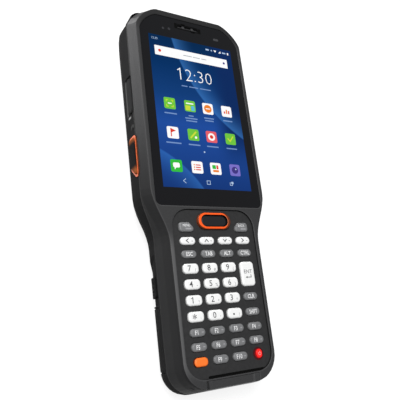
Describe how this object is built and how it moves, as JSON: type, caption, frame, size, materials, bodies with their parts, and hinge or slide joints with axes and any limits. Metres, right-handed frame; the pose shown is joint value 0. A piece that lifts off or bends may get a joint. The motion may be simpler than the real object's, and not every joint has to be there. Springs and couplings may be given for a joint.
{
  "type": "handheld barcode data terminal",
  "caption": "Handheld data terminal: touch display head, waisted keypad handle, side scan triggers, scanner window at the top end and removable battery.",
  "frame": {"origin": "on the rest plane under the middle of the overall box; the terminal lies on its back", "axes": "+Y along the length towards the scanner end, +X across to the right side seen from the front, +Z out of the display"},
  "size_m": [0.0752, 0.206, 0.0337],
  "materials": {
    "front_shell": "fine satin texture, dark grey",
    "rear_shell": "fine matt texture, black",
    "cover_glass": "polished glass, black behind, lit display area",
    "rubber": "soft matt rubber",
    "display": "display panel in a metal tray",
    "keypad_panel": "fine matt texture, dark grey",
    "orange_trim": "satin orange",
    "circuit_board": "green solder mask with metal cans",
    "side_keys": "matt black",
    "battery": "fine matt texture, black",
    "cover_rubber": "matt dark rubber",
    "connector_metal": "plated steel",
    "scan_window": "polished dark red window",
    "scan_engine": "satin dark metal",
    "camera": "glossy black with lens",
    "speaker": "matt black",
    "screws": "plated steel",
    "white_keys": "satin white",
    "grey_keys": "satin grey",
    "orange_key": "satin orange",
    "red_key": "satin red",
    "scan_key": "satin black"
  },
  "bodies": {
    "housing": {"front_housing": "front_shell", "rear_housing": "rear_shell", "cover_glass": "cover_glass", "glass_seal": "rubber", "display_module": "display", "keypad_panel": "keypad_panel", "keypad_mat": "rubber", "trim_rings": "orange_trim", "main_board": "circuit_board", "bottom_connectors": "connector_metal", "scan_window": "scan_window", "scan_engine": "scan_engine", "camera_modules": "camera", "speaker_unit": "speaker", "housing_screws": "screws"},
    "key_soft_left": {"key_soft_left": "grey_keys"},
    "key_soft_right": {"key_soft_right": "grey_keys"},
    "key_left": {"key_left": "white_keys"},
    "key_up": {"key_up": "white_keys"},
    "key_down": {"key_down": "white_keys"},
    "key_right": {"key_right": "white_keys"},
    "key_esc": {"key_esc": "grey_keys"},
    "key_tab": {"key_tab": "grey_keys"},
    "key_alt": {"key_alt": "grey_keys"},
    "key_ctrl": {"key_ctrl": "grey_keys"},
    "key_7": {"key_7": "white_keys"},
    "key_8": {"key_8": "white_keys"},
    "key_9": {"key_9": "white_keys"},
    "key_4": {"key_4": "white_keys"},
    "key_5": {"key_5": "white_keys"},
    "key_6": {"key_6": "white_keys"},
    "key_1": {"key_1": "white_keys"},
    "key_2": {"key_2": "white_keys"},
    "key_3": {"key_3": "white_keys"},
    "key_star": {"key_star": "white_keys"},
    "key_0": {"key_0": "white_keys"},
    "key_dot": {"key_dot": "white_keys"},
    "key_f1": {"key_f1": "grey_keys"},
    "key_f2": {"key_f2": "grey_keys"},
    "key_f3": {"key_f3": "grey_keys"},
    "key_f4": {"key_f4": "grey_keys"},
    "key_f5": {"key_f5": "grey_keys"},
    "key_f6": {"key_f6": "grey_keys"},
    "key_f7": {"key_f7": "grey_keys"},
    "key_f8": {"key_f8": "grey_keys"},
    "key_f9": {"key_f9": "grey_keys"},
    "key_f10": {"key_f10": "grey_keys"},
    "key_enter": {"key_enter": "white_keys"},
    "key_clear": {"key_clear": "grey_keys"},
    "key_shift": {"key_shift": "grey_keys"},
    "key_fn": {"key_fn": "orange_key"},
    "key_power": {"key_power": "red_key"},
    "key_scan": {"key_scan": "scan_key"},
    "trigger_left": {"trigger_left": "side_keys"},
    "trigger_right": {"trigger_right": "side_keys"},
    "volume_rocker": {"volume_rocker": "side_keys"},
    "battery_pack": {"battery_pack": "battery"},
    "battery_latch_left": {"battery_latch_left": "side_keys"},
    "battery_latch_right": {"battery_latch_right": "side_keys"},
    "io_cover": {"io_cover": "cover_rubber"}
  },
  "joints": [
    {"name": "key_soft_left_press", "type": "slide", "parent": "housing", "child": "key_soft_left", "axis": [0, 0, -1], "range_m": [0, 0.0006], "stiffness_N_per_m": 1500},
    {"name": "key_soft_right_press", "type": "slide", "parent": "housing", "child": "key_soft_right", "axis": [0, 0, -1], "range_m": [0, 0.0006], "stiffness_N_per_m": 1500},
    {"name": "key_left_press", "type": "slide", "parent": "housing", "child": "key_left", "axis": [0, 0, -1], "range_m": [0, 0.0006], "stiffness_N_per_m": 1500},
    {"name": "key_up_press", "type": "slide", "parent": "housing", "child": "key_up", "axis": [0, 0, -1], "range_m": [0, 0.0006], "stiffness_N_per_m": 1500},
    {"name": "key_down_press", "type": "slide", "parent": "housing", "child": "key_down", "axis": [0, 0, -1], "range_m": [0, 0.0006], "stiffness_N_per_m": 1500},
    {"name": "key_right_press", "type": "slide", "parent": "housing", "child": "key_right", "axis": [0, 0, -1], "range_m": [0, 0.0006], "stiffness_N_per_m": 1500},
    {"name": "key_esc_press", "type": "slide", "parent": "housing", "child": "key_esc", "axis": [0, 0, -1], "range_m": [0, 0.0006], "stiffness_N_per_m": 1500},
    {"name": "key_tab_press", "type": "slide", "parent": "housing", "child": "key_tab", "axis": [0, 0, -1], "range_m": [0, 0.0006], "stiffness_N_per_m": 1500},
    {"name": "key_alt_press", "type": "slide", "parent": "housing", "child": "key_alt", "axis": [0, 0, -1], "range_m": [0, 0.0006], "stiffness_N_per_m": 1500},
    {"name": "key_ctrl_press", "type": "slide", "parent": "housing", "child": "key_ctrl", "axis": [0, 0, -1], "range_m": [0, 0.0006], "stiffness_N_per_m": 1500},
    {"name": "key_7_press", "type": "slide", "parent": "housing", "child": "key_7", "axis": [0, 0, -1], "range_m": [0, 0.0006], "stiffness_N_per_m": 1500},
    {"name": "key_8_press", "type": "slide", "parent": "housing", "child": "key_8", "axis": [0, 0, -1], "range_m": [0, 0.0006], "stiffness_N_per_m": 1500},
    {"name": "key_9_press", "type": "slide", "parent": "housing", "child": "key_9", "axis": [0, 0, -1], "range_m": [0, 0.0006], "stiffness_N_per_m": 1500},
    {"name": "key_4_press", "type": "slide", "parent": "housing", "child": "key_4", "axis": [0, 0, -1], "range_m": [0, 0.0006], "stiffness_N_per_m": 1500},
    {"name": "key_5_press", "type": "slide", "parent": "housing", "child": "key_5", "axis": [0, 0, -1], "range_m": [0, 0.0006], "stiffness_N_per_m": 1500},
    {"name": "key_6_press", "type": "slide", "parent": "housing", "child": "key_6", "axis": [0, 0, -1], "range_m": [0, 0.0006], "stiffness_N_per_m": 1500},
    {"name": "key_1_press", "type": "slide", "parent": "housing", "child": "key_1", "axis": [0, 0, -1], "range_m": [0, 0.0006], "stiffness_N_per_m": 1500},
    {"name": "key_2_press", "type": "slide", "parent": "housing", "child": "key_2", "axis": [0, 0, -1], "range_m": [0, 0.0006], "stiffness_N_per_m": 1500},
    {"name": "key_3_press", "type": "slide", "parent": "housing", "child": "key_3", "axis": [0, 0, -1], "range_m": [0, 0.0006], "stiffness_N_per_m": 1500},
    {"name": "key_star_press", "type": "slide", "parent": "housing", "child": "key_star", "axis": [0, 0, -1], "range_m": [0, 0.0006], "stiffness_N_per_m": 1500},
    {"name": "key_0_press", "type": "slide", "parent": "housing", "child": "key_0", "axis": [0, 0, -1], "range_m": [0, 0.0006], "stiffness_N_per_m": 1500},
    {"name": "key_dot_press", "type": "slide", "parent": "housing", "child": "key_dot", "axis": [0, 0, -1], "range_m": [0, 0.0006], "stiffness_N_per_m": 1500},
    {"name": "key_f1_press", "type": "slide", "parent": "housing", "child": "key_f1", "axis": [0, 0, -1], "range_m": [0, 0.0006], "stiffness_N_per_m": 1500},
    {"name": "key_f2_press", "type": "slide", "parent": "housing", "child": "key_f2", "axis": [0, 0, -1], "range_m": [0, 0.0006], "stiffness_N_per_m": 1500},
    {"name": "key_f3_press", "type": "slide", "parent": "housing", "child": "key_f3", "axis": [0, 0, -1], "range_m": [0, 0.0006], "stiffness_N_per_m": 1500},
    {"name": "key_f4_press", "type": "slide", "parent": "housing", "child": "key_f4", "axis": [0, 0, -1], "range_m": [0, 0.0006], "stiffness_N_per_m": 1500},
    {"name": "key_f5_press", "type": "slide", "parent": "housing", "child": "key_f5", "axis": [0, 0, -1], "range_m": [0, 0.0006], "stiffness_N_per_m": 1500},
    {"name": "key_f6_press", "type": "slide", "parent": "housing", "child": "key_f6", "axis": [0, 0, -1], "range_m": [0, 0.0006], "stiffness_N_per_m": 1500},
    {"name": "key_f7_press", "type": "slide", "parent": "housing", "child": "key_f7", "axis": [0, 0, -1], "range_m": [0, 0.0006], "stiffness_N_per_m": 1500},
    {"name": "key_f8_press", "type": "slide", "parent": "housing", "child": "key_f8", "axis": [0, 0, -1], "range_m": [0, 0.0006], "stiffness_N_per_m": 1500},
    {"name": "key_f9_press", "type": "slide", "parent": "housing", "child": "key_f9", "axis": [0, 0, -1], "range_m": [0, 0.0006], "stiffness_N_per_m": 1500},
    {"name": "key_f10_press", "type": "slide", "parent": "housing", "child": "key_f10", "axis": [0, 0, -1], "range_m": [0, 0.0006], "stiffness_N_per_m": 1500},
    {"name": "key_enter_press", "type": "slide", "parent": "housing", "child": "key_enter", "axis": [0, 0, -1], "range_m": [0, 0.0006], "stiffness_N_per_m": 1500},
    {"name": "key_clear_press", "type": "slide", "parent": "housing", "child": "key_clear", "axis": [0, 0, -1], "range_m": [0, 0.0006], "stiffness_N_per_m": 1500},
    {"name": "key_shift_press", "type": "slide", "parent": "housing", "child": "key_shift", "axis": [0, 0, -1], "range_m": [0, 0.0006], "stiffness_N_per_m": 1500},
    {"name": "key_fn_press", "type": "slide", "parent": "housing", "child": "key_fn", "axis": [0, 0, -1], "range_m": [0, 0.0006], "stiffness_N_per_m": 1500},
    {"name": "key_power_press", "type": "slide", "parent": "housing", "child": "key_power", "axis": [0, 0, -1], "range_m": [0, 0.0006], "stiffness_N_per_m": 1500},
    {"name": "key_scan_press", "type": "slide", "parent": "housing", "child": "key_scan", "axis": [0, 0, -1], "range_m": [0, 0.0006], "stiffness_N_per_m": 1500},
    {"name": "trigger_left_press", "type": "slide", "parent": "housing", "child": "trigger_left", "axis": [1, 0, 0], "range_m": [0, 0.0006], "stiffness_N_per_m": 2500},
    {"name": "trigger_right_press", "type": "slide", "parent": "housing", "child": "trigger_right", "axis": [-1, 0, 0], "range_m": [0, 0.0006], "stiffness_N_per_m": 2500},
    {"name": "volume_rocker_tilt", "type": "hinge", "parent": "housing", "child": "volume_rocker", "pos_m": [-0.0336, 0.0463, 0.0239], "axis": [0, 0, 1], "range_deg": [-2, 2], "stiffness_Nm_per_rad": 0.3},
    {"name": "battery_removal", "type": "slide", "parent": "housing", "child": "battery_pack", "axis": [0, 0, -1], "range_m": [0, 0.03]},
    {"name": "battery_latch_left_slide", "type": "slide", "parent": "housing", "child": "battery_latch_left", "axis": [0, 1, 0], "range_m": [0, 0.005]},
    {"name": "battery_latch_right_slide", "type": "slide", "parent": "housing", "child": "battery_latch_right", "axis": [0, 1, 0], "range_m": [0, 0.005]},
    {"name": "io_cover_hinge", "type": "hinge", "parent": "housing", "child": "io_cover", "pos_m": [0, -0.10139, 0.02295], "axis": [1, 0, 0], "range_deg": [0, 90]}
  ]
}
